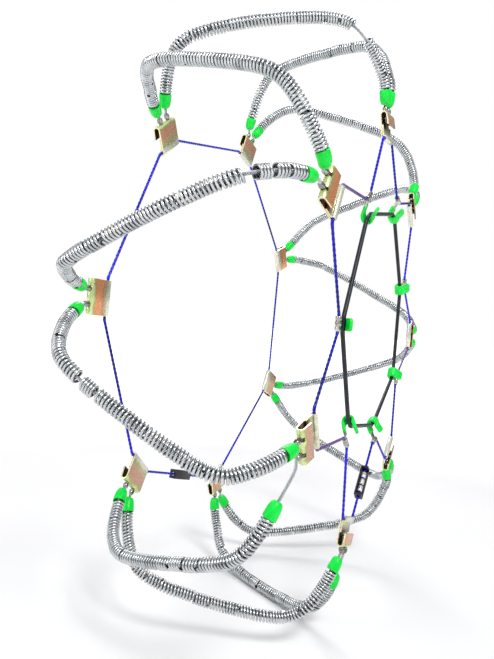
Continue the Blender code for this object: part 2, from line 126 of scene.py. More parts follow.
SIDE_CABLE_RADIUS = 0.0025
SIDE_CABLE_BEND = 0.008         # radius of its corners
SIDE_CABLE_LAY = 0.030
SIDE_CABLE_LOBES = (7, 0.05)    # faint ridges of the rope under the coating
TENSIONER_RADIUS = 0.0036
TENSIONER_BEND = 0.014
TENSIONER_CORNER = 0.002        # edge of a hook to the ring's corner beside it
PLATE = 0.0024
BRACKET_LENGTH = 0.055
BRACKET_CORNER = 0.0055         # end of a bracket to the side cable's corner beside it
TUBE_MID_RADIUS = 0.0040
BEND_MID_RADIUS = 0.0053
BEND_REACH = 0.0389
FREE_END_REACH = 0.022
LEG_FLARE = 4.0
TAIL_GAP = 0.0004
CREASE_MID_RADIUS = 0.0017
SLOT_SPACING = 0.0120
SLOT_WIDTH = 0.0068
SLOT_TOP = 0.014                # top of the box that cuts a slot
SLOT_CUT = 0.0120               # length of that box
SLOT_CUT_REACH = 0.0072         # bend's middle to the middle of that box
SHANK_REACH = 0.0380
STEM_END = 0.0180
HOOK_WIDTH = 0.020
HOOK_THICKNESS = 0.0055
FERRULE_LENGTH = 0.022
FERRULE_CORNER = 0.0025         # end of a ferrule to the side cable's corner beside it
HOOK_CLEARANCE = 0.0012         # between the rubber ring and a hook's bend
HOOK_TIP = 0.017                # from the bend to the tip of a hook
STRAP_START = 0.013             # start of a hook's green strap along its path
SHANK_LENGTH = 0.022
SHANK_WIDTH = 0.0125
SHANK_THICKNESS = 0.0030
FRAME_LENGTH = 0.060
FRAME_WIDTH = 0.017
FRAME_HEIGHT = 0.0135
FRAME_SHEET = 0.0024
CABLE_END = 0.0035              # middle of a fastener to each end of its side cable
STOP_PLACES = (("low", -0.0142), ("middle", 0.0), ("high", 0.0142))
FASTENER_SHARE = {OUTER: 0.47, INNER: 0.50}

SIDEWALL = (
    (0.4250, 0.1660, 0.10),
    (0.4620, 0.1535, 0.38),
    (0.4940, 0.1360, 0.68),
    (0.5160, 0.1110, 0.94),
)
TREAD_EDGE = (0.5245, 0.070)
TREAD_CROWN = (0.5265, 0.0)
SHOULDER_Y = 0.105
STRANDS = (
    (0, -1, 8.0, 8.0, 0.020, 0.026),
    (0, +1, 9.0, 3.0, 0.020, 0.026),
    (1, -1, 9.0, 9.5, 0.0195, 0.022),
    (1, +1, 10.2, 4.6, 0.0425, 0.021),
    (2, -1, 3.0, 10.2, 0.0255, 0.026),
    (2, +1, 13.0, 4.0, 0.077, 0.020),
    (3, -1, 5.0, 6.0, 0.025, 0.022),
    (3, +1, 8.0, 8.0, 0.058, 0.020),
    (4, -1, 8.0, 6.5, 0.022, 0.028),
    (4, +1, 7.0, 7.5, 0.020, 0.022),
    (5, -1, 7.5, 8.0, 0.026, 0.020),
    (5, +1, 8.0, 7.0, 0.022, 0.024),
    (6, -1, 7.0, 8.0, 0.020, 0.022),
    (6, +1, 8.5, 7.0, 0.024, 0.026),
)
LOOSE_COIL_LENGTH = 0.024
LOOSE_COIL_GAP = 0.0026
LOOSE_COILS = {3: (0.090, 0.012), 4: (0.3145, 0.006)}
RUN_SLACK = {3: 0.0030}         # between the coils of a run that lies loose
BARE_STRETCHES = {1: (0.131, 0.163)}    # along a strand's route, where its coils lie apart

COIL_WIRE = 0.0040
COIL_MID_RADIUS = 0.0080        # axis of a coil to the middle of its wire
COIL_SIDES = 8                  # round the wire
COIL_SEGMENTS = 16              # along one turn of the wire
COIL_PITCHES = (0.0047, 0.0058)
COIL_TURNS = (4.6, 5.3)
COIL_BREAKS = (0.0, 0.0, 0.0005, 0.0016)
COIL_SHIFT = 0.0008             # most that a coil lies off the middle of its rope
COIL_LEAN = 0.09                # most that a coil leans, in radians
SHORTEST_COIL = 0.008
LOOSE_COIL_TURNS = 4.5
# How far each point round the wire faces away from the coil's axis; the coil material paints shade
# where it is low.
COIL_OUTSIDE = [0.5 + 0.5 * math.cos(2 * math.pi * i / COIL_SIDES) for i in range(COIL_SIDES)]
CAP_LENGTH = 0.024
CAP_SIDES = 28
CAP_OVERLAP = 0.0004            # of a cap's mouth over the first turn of wire
ROPE_RADIUS = 0.00255
ROPE_LAY = 0.0135               # length of one turn of the rope's strands
ROPE_STEP = 0.0013              # between the rings of the rope's mesh
ROPE_INSET = 0.014              # start of a route to the start of the rope
ROPE_LOBES = (6, 0.45)          # the rope's strands, and how deep the grooves between them are
ROPE_SIDES = 24                 # four for each strand of the rope
# 1 on the crest of each of the rope's strands, 0 in the grooves between them, where the rope
# material paints shade.
ROPE_OUTSIDE = [1.0, 0.75, 0.0, 0.75] * 6

TURNED_SIDES = 20
FIRST_SEED = 40
SPACING = 0.002                 # between the points of a strand's route


def radial(angle):
    turn = math.radians(angle)
    return Vector((-math.sin(turn), 0, math.cos(turn)))


def tangent(angle):
    turn = math.radians(angle)
    return Vector((-math.cos(turn), 0, -math.sin(turn)))


def side_frame(angle, side, radius):
    """Frame on a side ring: X along the rim, Y outwards from the axle, Z away from the tyre."""
    across = side * tangent(angle)
    away = Vector((0, side, 0))
    matrix = Matrix((across, radial(angle), away)).transposed().to_4x4()
    matrix.translation = radius * radial(angle) + Vector((0, side * RING_OFFSET, 0))
    return matrix


def outer_angle(number):
    return FIRST_BRACKET + number * PITCH


def inner_angle(number):
    return outer_angle(number) + HALF_PITCH


def bracket_place(number, side):
    """Angle and radius of a bracket's tube, and how far it leans towards the tyre."""
    if side == INNER:
        return inner_angle(number), RING_RADIUS, INNER_LEAN
    radius, shift, lean = OUTER_BRACKETS[number]
    return outer_angle(number) + shift, radius, lean


def bracket_frame(place, side):
    """Frame of a bracket: X along its tube, Y from the tube to the hairpin bend."""
    angle, radius, lean = place
    return side_frame(angle, side, radius) @ Matrix.Rotation(-math.radians(lean), 4, "X")


def hook_place(number):
    radius, shift = HOOKS[number]
    return inner_angle(number) + shift, radius


def on_wheel(radius, y, angle):
    return radius * radial(angle) + Vector((0, y, 0))


def smooth_route(points, spacing):
    """Points about a spacing apart on the Catmull-Rom curve through the given points."""
    ends = [2 * points[0] - points[1]] + list(points) + [2 * points[-1] - points[-2]]
    route = [points[0].copy()]
    for a, b, c, d in zip(ends, ends[1:], ends[2:], ends[3:]):
        steps = max(1, round((c - b).length / spacing))
        for step in range(1, steps + 1):
            t = step / steps
            route.append(
                0.5 * (2 * b + (c - a) * t + (2 * a - 5 * b + 4 * c - d) * t * t
                       + (3 * b - a - 3 * c + d) * t ** 3)
            )
    return route


def rounded_corners(corners, radius, steps):
    """A route through corners of a closed loop, each rounded by an arc of the given radius."""
    route = []
    for i, corner in enumerate(corners):
        to_last = (corners[i - 1] - corner).normalized()
        to_next = (corners[(i + 1) % len(corners)] - corner).normalized()
        half = to_last.angle(to_next) / 2
        middle = corner + (to_last + to_next).normalized() * (radius / math.sin(half))
        sweep = math.pi - 2 * half
        inward = (corner - middle).normalized()
        sideways = (to_next - to_next.project(inward)).normalized()
        for step in range(steps + 1):
            turn = sweep * (step / steps - 0.5)
            route.append(middle + radius * (inward * math.cos(turn) + sideways * math.sin(turn)))
    return route


def shank_start(place, side, way):
    """Start of a strand's shank, in the slot that lies the given way from the bracket's middle."""
    rise = BEND_MID_RADIUS - TUBE_MID_RADIUS
    return bracket_frame(place, side) @ Vector((side * way * SLOT_SPACING, SHANK_REACH, rise))


def strand_points(number):
    """The points that a strand's middle line passes through, from one shank to the other."""
    bracket, way, outer_turn, inner_turn, _, _ = STRANDS[number]
    outer_place = bracket_place(bracket, OUTER)
    inner_place = (outer_angle(bracket) + way * HALF_PITCH, RING_RADIUS, INNER_LEAN)
    start, end = outer_place[0], inner_place[0]
    first, last = shank_start(outer_place, OUTER, way), shank_start(inner_place, INNER, -way)
    offset = math.degrees(math.atan2(SLOT_SPACING, RING_RADIUS + SHANK_REACH))

    def half(angle, sign, turned, side):
        return [
            on_wheel(r, side * y, angle + sign * (offset + (turned - offset) * share))
            for r, y, share in SIDEWALL
        ]

    outer = half(start, way, outer_turn, OUTER)
    inner = half(end, -way, inner_turn, INNER)
    at_outer = start + way * outer_turn
    at_inner = end - way * inner_turn

    def crossing(radius, y):
        share = (y + SHOULDER_Y) / (2 * SHOULDER_Y)
        return on_wheel(radius, y, at_outer + (at_inner - at_outer) * share)

    edge_radius, edge_y = TREAD_EDGE
    tread = [
        crossing(edge_radius, -edge_y),
        crossing(TREAD_CROWN[0], TREAD_CROWN[1]),
        crossing(edge_radius, edge_y),
    ]
    stem_out = bracket_frame(outer_place, OUTER).to_3x3() @ Vector((0, STEM_END, 0))
    stem_in = bracket_frame(inner_place, INNER).to_3x3() @ Vector((0, STEM_END, 0))
    outer = [first, first + 0.6 * stem_out, first + stem_out, *outer]
    inner = [last, last + 0.6 * stem_in, last + stem_in, *inner]
    return [*outer, *tread, *reversed(inner)]


class Route:
    """A curve in space that can be asked for its place and its frame at any distance."""

    def __init__(self, points, closed=False):
        self.places = np.array([tuple(p) for p in points], dtype=float)
        if closed:
            self.places = np.vstack([self.places, self.places[:1]])
        steps = np.linalg.norm(np.diff(self.places, axis=0), axis=1)
        self.distances = np.concatenate([[0.0], np.cumsum(steps)])
        self.length = self.distances[-1]
        if closed:
            wrapped = np.vstack([self.places[-2:-1], self.places, self.places[1:2]])
            along = wrapped[2:] - wrapped[:-2]
        else:
            along = np.gradient(self.places, axis=0)
        self.along = along / np.linalg.norm(along, axis=1)[:, None]
        self.across = self.carried()

    def carried(self):
        """A direction square to the curve, carried along it without twist."""
        first = np.cross(self.along[0], (0.0, 1.0, 0.0))
        if np.linalg.norm(first) < 0.1:
            first = np.cross(self.along[0], (1.0, 0.0, 0.0))
        vectors = [first / np.linalg.norm(first)]
        for direction in self.along[1:]:
            vector = vectors[-1] - direction * np.dot(vectors[-1], direction)
            vectors.append(vector / np.linalg.norm(vector))
        return np.array(vectors)

    def at(self, distances):
        """Places and frames at distances; past an end the curve runs on straight."""
        distances = np.asarray(distances, dtype=float)
        inside = np.clip(distances, 0.0, self.length)

        def between(values):
            return np.stack(
                [np.interp(inside, self.distances, values[:, i]) for i in range(3)], axis=-1
            )

        along = between(self.along)
        along /= np.linalg.norm(along, axis=-1)[..., None]
        across = between(self.across)
        across -= along * np.sum(across * along, axis=-1)[..., None]
        across /= np.linalg.norm(across, axis=-1)[..., None]
        place = between(self.places) + along * (distances - inside)[..., None]
        return place, along, across, np.cross(along, across)


STRAND_ROUTES = [Route(smooth_route(strand_points(n), SPACING)) for n in range(len(STRANDS))]


# ---------------------------------------------------------------- materials

class Shader:
    """A Principled material with a few procedural layers on it, in the piece's own coordinates."""

    def __init__(self, name, **constants):
        self.material = bpy.data.materials.new(name)
        self.material.use_nodes = True
        self.tree = self.material.node_tree
        self.principled = self.tree.nodes["Principled BSDF"]
        for socket, value in constants.items():
            name = socket.replace("_", " ").title().replace("Ior", "IOR")
            self.principled.inputs[name].default_value = value
        self.coordinates = self.tree.nodes.new("ShaderNodeTexCoord").outputs["Object"]
        self.offset = None

    def node(self, kind, values=None, links=None, **settings):
        made = self.tree.nodes.new(kind)
        for key, value in settings.items():
            setattr(made, key, value)
        for key, value in (values or {}).items():
            made.inputs[key].default_value = value
        for key, source in (links or {}).items():
            self.tree.links.new(source, made.inputs[key])
        return made

    def noise(self, scale, detail=3.0, roughness=0.55, distortion=0.0):
        source = self.coordinates
        if self.offset:
            moved = self.node("ShaderNodeMapping", {"Location": self.offset}, {"Vector": source})
            source = moved.outputs["Vector"]
        values = {
            "Scale": scale, "Detail": detail, "Roughness": roughness, "Distortion": distortion
        }
        return self.node("ShaderNodeTexNoise", values, {"Vector": source}).outputs["Fac"]

    def ramp(self, factor, stops):
        """A colour ramp with (position, colour) stops."""
        made = self.node("ShaderNodeValToRGB", None, {"Fac": factor})
        elements = made.color_ramp.elements
        while len(elements) < len(stops):
            elements.new(0.5)
        for element, (position, colour) in zip(elements, stops):
            element.position = position
            element.color = (*colour, 1.0)
        return made.outputs["Color"]

    def span(self, factor, low, high, start=0.3, end=0.7):
        """A factor between start and end, mapped to low and high."""
        values = {"From Min": start, "From Max": end, "To Min": low, "To Max": high}
        return self.node("ShaderNodeMapRange", values, {"Value": factor}).outputs["Result"]

    def feed(self, made, inputs):
        """Gives a node's inputs numbers or colours, or links them to outputs."""
        for i, value in inputs.items():
            if isinstance(value, (int, float)):
                made.inputs[i].default_value = value
            elif isinstance(value, tuple):
                made.inputs[i].default_value = (*value, 1.0)
            else:
                self.tree.links.new(value, made.inputs[i])

    def math(self, operation, a, b):
        made = self.node("ShaderNodeMath", operation=operation)
        self.feed(made, {0: a, 1: b})
        return made.outputs["Value"]

    def mix(self, factor, a, b, blend_type="MIX"):
        made = self.node("ShaderNodeMix", data_type="RGBA", blend_type=blend_type)
        self.feed(made, {0: factor, 6: a, 7: b})
        return made.outputs[2]

    def move(self, offset):
        """Moves the noises that are added after it, so that two materials can differ."""
        self.offset = offset

    def outside(self):
        """The attribute that tells how far a point of a wire, rope or bracket faces out, which
        masks painted shade; on the side cable it is 0 where purple light is painted.
        """
        return self.node("ShaderNodeAttribute", attribute_name="outside").outputs["Fac"]

    def local(self):
        """The piece's own X, Y and Z."""
        return self.node("ShaderNodeSeparateXYZ", None, {"Vector": self.coordinates}).outputs

    def colour(self, source):
        self.tree.links.new(source, self.principled.inputs["Base Color"])

    def roughness(self, source):
        self.tree.links.new(source, self.principled.inputs["Roughness"])

    def bump(self, height, strength, distance=0.0005):
        made = self.node(
            "ShaderNodeBump", {"Strength": strength, "Distance": distance}, {"Height": height}
        )
        self.tree.links.new(made.outputs["Normal"], self.principled.inputs["Normal"])


def coil_material():
    """Zinc-plated spring wire: bright, with duller and slightly warm stretches, and painted shade
    on the wire's side that faces the coil's axis.
    """
    shader = Shader("coil_steel", metallic=1.0)
    patches = shader.noise(45, 4.0)
    grain = shader.noise(900, 2.0)
    base = shader.ramp(patches, [
        (0.30, (0.40, 0.42, 0.43)),
        (0.45, (0.60, 0.63, 0.65)),
        (0.60, (0.74, 0.77, 0.78)),
        (0.75, (0.62, 0.59, 0.53)),
    ])
    worn = shader.mix(shader.span(grain, 0.0, 0.35), base, (0.30, 0.31, 0.31))
    # Painted shade: the wire's side towards the coil's axis is darkened, for the shade between the
    # turns.
    painted_gap_shade = shader.ramp(shader.outside(), [(0.22, (0.12, 0.125, 0.135)), (0.62, (1.0, 1.0, 1.0))])
    shader.colour(shader.mix(1.0, worn, painted_gap_shade, "MULTIPLY"))
    shader.roughness(shader.span(patches, 0.22, 0.36))
    shader.bump(grain, 0.25, 0.0001)
    return shader.material


def rope_material():
    """Galvanised wire rope: pale wires, with painted shade in the grooves between its strands."""
    shader = Shader("rope_steel", metallic=0.35)
    patches = shader.noise(60, 3.0)
    grain = shader.noise(1500, 2.0)
    base = shader.ramp(patches, [(0.3, (0.68, 0.71, 0.74)), (0.7, (0.86, 0.89, 0.91))])
    # Painted shade: nearly black in the grooves between the strands.
    painted_groove_shade = shader.ramp(shader.outside(), [(0.25, (0.03, 0.03, 0.04)), (0.70, (1.0, 1.0, 1.0))])
    worn = shader.mix(shader.span(grain, 0.0, 0.2), base, (0.20, 0.20, 0.21))
    shader.colour(shader.mix(1.0, worn, painted_groove_shade, "MULTIPLY"))
    shader.roughness(shader.span(grain, 0.30, 0.50))
    shader.bump(grain, 0.3, 0.0001)
    return shader.material


def coated_cable_material():
    """Clear coloured plastic over wire rope: deep blue, with purple painted light where outside is
    0.
    """
    shader = Shader(
        "blue_coated_cable", coat_weight=0.12, coat_roughness=0.12, specular_ior_level=0.3
    )
    stretches = shader.noise(5.5, 1.0)
    grime = shader.noise(180, 4.0)
    blue = shader.ramp(stretches, [
        (0.35, (0.005, 0.003, 0.26)), (0.52, (0.008, 0.005, 0.55)), (0.65, (0.012, 0.008, 0.78))
    ])
    painted_purple = shader.ramp(stretches, [(0.35, (0.085, 0.035, 0.22)), (0.65, (0.21, 0.12, 0.33))])
    # Painted light: purple where outside is 0, standing in for a different light and reflection on
    # those stretches of the cable.
    base = shader.mix(shader.outside(), painted_purple, blue)
    shader.colour(shader.mix(shader.span(grime, 0.0, 0.25, 0.5, 0.8), base, (0.010, 0.008, 0.05)))
    shader.roughness(shader.span(grime, 0.22, 0.42))
    shader.bump(shader.noise(420, 2.0), 0.2, 0.0002)
    return shader.material


# Shift of the pattern, and the colours of the front leg's middle and of the back plate.
ZINC_VARIANTS = (
    (0.0, (0.95, 0.36, 0.14), (0.70, 0.28, 0.20)),
    (0.37, (0.66, 0.36, 0.26), (0.66, 0.48, 0.32)),
    (0.71, (0.80, 0.38, 0.24), (0.62, 0.54, 0.26)),
)
BRACKET_VARIANTS = (2, 0, 1, 2, 1, 0, 2)


def zinc_material(variant):
    """Yellow-passivated zinc on folded sheet: orange, pink, yellow and pale green by stretches,
    with painted highlights on the tube and the hairpin bend, a painted shade stripe where the bend
    starts and painted shade inside the folds.
    """
    offset, warm, dull = ZINC_VARIANTS[variant]
    shader = Shader(f"yellow_zinc_{variant + 1}", metallic=0.65)
    shader.move((offset, offset, 0.0))
    local = shader.local()
    waves = shader.noise(42, 3.0, distortion=1.2)
    drift = shader.math("MULTIPLY", shader.math("SUBTRACT", waves, 0.5), 0.018)
    depth = shader.math("ADD", local["Y"], drift)
    # Colour across the sheet by Y: painted highlights, near white on the tube and bright
    # yellow-green round the hairpin bend, a dark olive stripe of painted shade where the bend
    # starts, and the zinc's own colours on the legs and tail.
    bands_and_painted_light = shader.ramp(shader.span(depth, 0.0, 1.0, -0.008, 0.046), [
        (0.00, (0.92, 0.93, 0.84)),
        (0.22, (0.86, 0.88, 0.70)),
        (0.32, (0.50, 0.52, 0.30)),
        (0.44, dull),
        (0.56, warm),
        (0.80, warm),
        (0.88, (0.50, 0.48, 0.20)),
        (0.93, (0.76, 0.90, 0.42)),
    ])
    fine = shader.noise(260, 4.0)
    worn = shader.mix(shader.span(fine, 0.0, 0.40), bands_and_painted_light, (0.34, 0.28, 0.14))
    # Painted shade: darkened where the skin faces the inside of the tube, the legs or the bend.
    hollow = shader.ramp(shader.outside(), [(0.2, (0.16, 0.15, 0.08)), (0.8, (1.0, 1.0, 1.0))])
    shaded = shader.mix(1.0, worn, hollow, "MULTIPLY")
    edge = BRACKET_LENGTH / 2
    from_middle = shader.math("ABSOLUTE", local["X"], 0.0)
    at_end = shader.span(from_middle, 0.0, 1.0, edge - 0.0004, edge - 0.0002)
    shader.colour(shader.mix(at_end, shaded, (0.96, 0.90, 0.58)))
    shader.roughness(shader.span(fine, 0.22, 0.40))
    shader.bump(fine, 0.18, 0.0002)
    return shader.material


def swage_material(name, brightness, metallic=1.0):
    """Pressed steel ends: faintly yellow zinc with handling marks."""
    shader = Shader(name, metallic=metallic)
    patches = shader.noise(120, 4.0)
    low, middle, high = (
        tuple(min(0.95, brightness * c) for c in colour)
        for colour in ((0.22, 0.21, 0.18), (0.50, 0.48, 0.43), (0.88, 0.87, 0.82))
    )
    shader.colour(shader.ramp(patches, [(0.35, low), (0.50, middle), (0.68, high)]))
    shader.roughness(shader.span(patches, 0.20, 0.38))
    shader.bump(shader.noise(700, 3.0), 0.25, 0.0002)
    return shader.material


def green_material():
    """Bright green dipped plastic with a soft gloss and a little grime."""
    shader = Shader(
        "green_plastic", coat_weight=0.05, coat_roughness=0.2, specular_ior_level=0.3,
        subsurface_weight=0.08, subsurface_radius=(0.2, 1.0, 0.3), subsurface_scale=0.003
    )
    tone = shader.noise(70, 3.0)
    grime = shader.noise(300, 5.0)
    base = shader.ramp(tone, [(0.3, (0.0, 0.66, 0.042)), (0.7, (0.001, 0.86, 0.080))])
    shader.colour(shader.mix(shader.span(grime, 0.0, 0.5, 0.62, 0.80), base, (0.01, 0.25, 0.03)))
    shader.roughness(shader.span(tone, 0.30, 0.45))
    shader.bump(shader.noise(160, 2.0), 0.25, 0.0005)
    return shader.material


def rubber_material():
    """Black rubber ring, dusty in streaks, the dust tinted blue as a painted sheen."""
    shader = Shader("black_rubber", specular_ior_level=0.35)
    dust_and_sheen = shader.noise(55, 5.0, distortion=0.6)
    # Painted sheen: the pale end of the dust ramp is tinted blue, partly dust and partly a painted
    # blue sheen.
    shader.colour(shader.ramp(dust_and_sheen, [(0.35, (0.006, 0.007, 0.009)), (0.75, (0.030, 0.038, 0.052))]))
    shader.roughness(shader.span(dust_and_sheen, 0.34, 0.56))
    shader.bump(shader.noise(600, 3.0), 0.3, 0.0003)
    return shader.material


def black_steel_material():
    """Black-coated steel, worn to brighter metal in specks."""
    shader = Shader("black_steel", metallic=0.4)
    wear = shader.noise(320, 5.0)
    shader.colour(shader.ramp(wear, [(0.60, (0.018, 0.018, 0.022)), (0.76, (0.16, 0.15, 0.15))]))
    shader.roughness(shader.span(wear, 0.28, 0.5))
    shader.bump(shader.noise(500, 3.0), 0.3, 0.0003)
    return shader.material


MATERIALS = {
    "coil": coil_material(),
    "rope": rope_material(),
    "cable": coated_cable_material(),
    "zinc_1": zinc_material(0),
    "zinc_2": zinc_material(1),
    "zinc_3": zinc_material(2),
    # Copies of one pressed steel at three brightnesses; the darker one, on the strand ends, is
    # painted shade.
    "swage": swage_material("swaged_steel", 0.6),
    "ferrule": swage_material("bright_swaged_steel", 1.0),
    "stop": swage_material("pale_swaged_steel", 1.7, 0.5),
    "green": green_material(),
    "rubber": rubber_material(),
    "black": black_steel_material(),
}


# ---------------------------------------------------------------- mesh building

def add_piece(name, mesh, material, body, replaces=(), matrix=None, blend=None):
    """Makes a mesh into a piece with a material: on a body, or, when blend is given, fixed in world
    coordinates on no body.
    """
    piece = bpy.data.objects.new(name, mesh)
    bpy.context.scene.collection.objects.link(piece)
    if matrix is not None:
        piece.matrix_world = matrix
    if not mesh.materials:
        mesh.materials.append(MATERIALS[material])
    if blend:
        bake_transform(piece)
    else:
        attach(piece, body)
    if replaces:
        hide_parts(*replaces)
    return piece


def mark(mesh, values):
    """Keeps a value for each point of a mesh, as the attribute outside."""
    mesh.attributes.new("outside", "FLOAT", "POINT").data.foreach_set("value", values)


def grid_mesh(name, grids, outside=None, closed=False):
    """One mesh from grids of points: each is rings of points, with a cap at both ends.

    A closed grid has no caps: its last ring joins its first. outside is a value for each
    point of a ring, kept as an attribute for the material.
    """
    vertices, loops, totals = [], [], []
    first = 0
    for grid in grids:
        rings, sides, _ = grid.shape
        index = first + np.arange(rings * sides).reshape(rings, sides)
        after = np.roll(index, -1, axis=1)
        faces = [np.stack([index[:-1], after[:-1], after[1:], index[1:]], axis=-1).reshape(-1, 4)]
        if closed:
            faces.append(np.stack([index[-1], after[-1], after[0], index[0]], axis=-1))
        else:
            faces += [index[:1, ::-1], index[-1:]]
        for part in faces:
            loops.append(part.ravel())
            totals.append(np.full(len(part), part.shape[1]))
        vertices.append(grid.reshape(-1, 3))
        first += rings * sides
    vertices, loops, totals = (np.concatenate(parts) for parts in (vertices, loops, totals))
    starts = np.cumsum(totals) - totals
    mesh = bpy.data.meshes.new(name)
    mesh.vertices.add(len(vertices))
    mesh.vertices.foreach_set("co", vertices.astype(np.float32).ravel())
    mesh.loops.add(len(loops))
    mesh.loops.foreach_set("vertex_index", loops.astype(np.int32))
    mesh.polygons.add(len(starts))
    mesh.polygons.foreach_set("loop_start", starts.astype(np.int32))
    mesh.polygons.foreach_set("loop_total", totals.astype(np.int32))
    mesh.update(calc_edges=True)
    if outside is not None:
        mark(mesh, np.tile(outside, len(vertices) // len(outside)))
    mesh.validate()
    mesh.shade_smooth()
    mesh.set_sharp_from_angle(angle=math.radians(50))
    return mesh


def swept_grid(route, distances, radii, sides, turns=None, lobes=None):
    """Rings round a route: round, or with lobes that make it look like laid-up rope."""
    place, _, across, side = route.at(distances)
    angle = 2 * math.pi * np.arange(sides) / sides
    angle = angle[None, :] + (turns[:, None] if turns is not None else 0.0)
    shape = 1.0
    if lobes:
        count, depth = lobes
        local = 2 * math.pi * np.arange(sides) / sides
        shape = (1 - depth * (1 - np.abs(np.cos(count * local / 2))))[None, :]
    size = np.asarray(radii)[:, None] * shape
    out = np.cos(angle)[..., None] * across[:, None, :]
    out += np.sin(angle)[..., None] * side[:, None, :]
    return place[:, None, :] + size[..., None] * out


def turned_mesh(name, route, start, profile, sides, way=1, closed=False):
    """A turned piece on a route: profile is (distance, radius) from a start, run in a direction."""
    distances = np.array([start + way * d for d, _ in profile])
    radii = np.array([max(r, 0.00002) for _, r in profile])
    grid = swept_grid(route, distances, radii, sides)
    if way < 0:
        grid = grid[:, ::-1]
    return grid_mesh(name, [grid], closed=closed)


def helix_grid(route, start, turns, pitch, first_phase, rng):
    """One traction coil round a route, with its own small offset and lean."""
    radius = COIL_MID_RADIUS
    count = int(round(turns * COIL_SEGMENTS)) + 1
    step = turns * np.arange(count) / (count - 1)
    phase = first_phase + 2 * math.pi * step
    distance = start + pitch * step
    place, along, across, side = route.at(distance)
    shift_angle = rng.uniform(0, 2 * math.pi)
    shift = rng.uniform(0.0, COIL_SHIFT)
    lean_angle, lean = rng.uniform(0, 2 * math.pi), rng.uniform(0.0, COIL_LEAN)
    out = np.cos(phase)[:, None] * across + np.sin(phase)[:, None] * side
    middle = place + radius * out
    middle += shift * (math.cos(shift_angle) * across + math.sin(shift_angle) * side)
    middle += (lean * radius * np.cos(phase - lean_angle))[:, None] * along
    wire_along = np.gradient(middle, axis=0)
    wire_along /= np.linalg.norm(wire_along, axis=1)[:, None]
    up = out - wire_along * np.sum(out * wire_along, axis=1)[:, None]
    up /= np.linalg.norm(up, axis=1)[:, None]
    over = np.cross(wire_along, up)
    turn = 2 * math.pi * np.arange(COIL_SIDES) / COIL_SIDES
    ring = np.cos(turn)[None, :, None] * up[:, None, :]
    ring += np.sin(turn)[None, :, None] * over[:, None, :]
    return middle[:, None, :] + COIL_WIRE / 2 * ring


# ---------------------------------------------------------------- strands

def coil_run(route, start, end, slack, rng):
    """Coils laid end to end, each going on nearly where the last one's wire stops."""
    coils = []
    here, last = start + COIL_WIRE / 2, end - COIL_WIRE / 2
    phase = rng.uniform(0, 2 * math.pi)
    while last - here > SHORTEST_COIL:
        pitch = rng.uniform(*COIL_PITCHES)
        turns = rng.uniform(*COIL_TURNS)
        room = (last - here) / pitch
        if room < turns + 1.6:
            turns = room
        coils.append(helix_grid(route, here, turns, pitch, phase, rng))
        skipped = 0.03 + rng.uniform(0.0, 0.09)
        here += (turns + skipped) * pitch + rng.choice(COIL_BREAKS) + slack
        phase += 2 * math.pi * (turns + skipped)
    return coils


CAP_PROFILE = (
    (0.0000, 0.0029), (-0.0002, 0.0034), (-0.0002, 0.0050), (0.0005, 0.0062),
    (0.0019, 0.0074), (0.0042, 0.0085), (0.0075, 0.0093), (0.0115, 0.0098),
    (0.0178, 0.0101), (0.0234, 0.0102), (0.0240, 0.0100), (0.0240, 0.0094),
    (0.0235, 0.0092), (0.0200, 0.0090), (0.0190, 0.0080), (0.0186, 0.0050),
    (0.0186, 0.0029),
)

FITTING_PROFILE = (
    (-0.0110, 0.0), (-0.0110, 0.0030), (-0.0104, 0.0036), (-0.0072, 0.0036),
    (-0.0066, 0.0033), (-0.0046, 0.0033), (-0.0040, 0.0036), (-0.0008, 0.0036),
    (-0.0001, 0.0032), (0.0006, 0.0028), (0.0080, 0.0028), (0.0086, 0.0036),
    (0.0096, 0.0043), (0.0112, 0.0046), (0.0132, 0.0046), (0.0150, 0.0043),
    (0.0164, 0.0036), (0.0172, 0.0029), (0.0180, 0.0026), (0.0180, 0.0),
)


